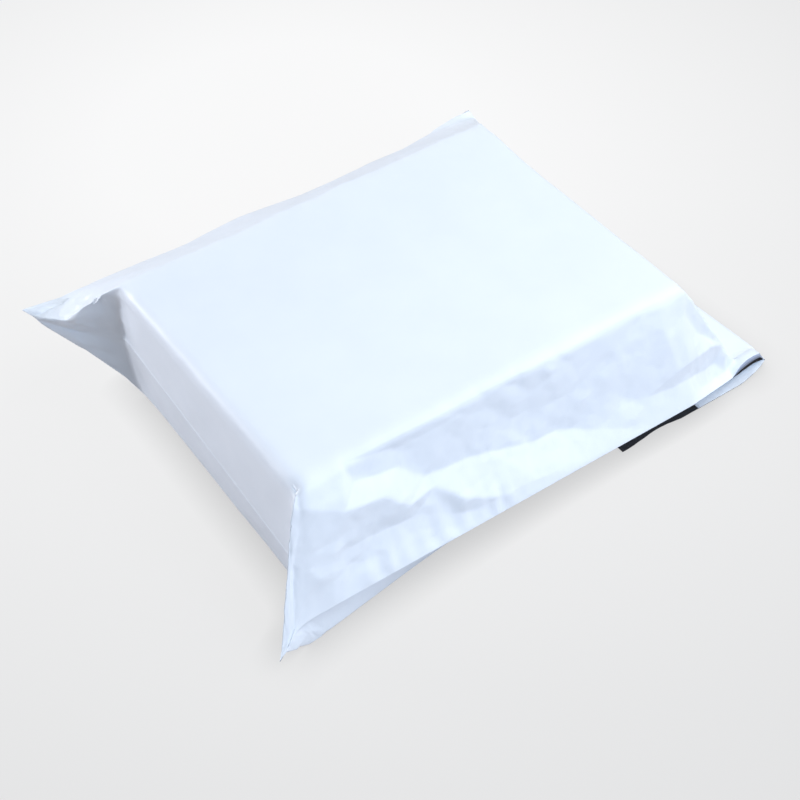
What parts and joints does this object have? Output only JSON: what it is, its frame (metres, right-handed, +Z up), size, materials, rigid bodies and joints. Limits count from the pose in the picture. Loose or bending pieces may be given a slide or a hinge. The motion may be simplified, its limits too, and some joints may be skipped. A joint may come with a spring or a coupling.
{
  "type": "poly mailer bag",
  "caption": "White film courier bag packed with one box-shaped content, its corners drawn out into ears, with the mouth folded under and glued shut.",
  "frame": {"origin": "middle of the packed content's flat under side, at the level that the bag rests on", "axes": "+X from the bag's bottom fold towards its mouth, +Y from the front side weld to the back side weld, +Z up"},
  "size_m": [0.4261, 0.318, 0.1056],
  "materials": {
    "white_film": "white film with a soft gloss",
    "black_film": "black inner face of the film, semi-matt"
  },
  "bodies": {
    "root": {"mailer_bag": "white_film"}
  },
  "joints": []
}
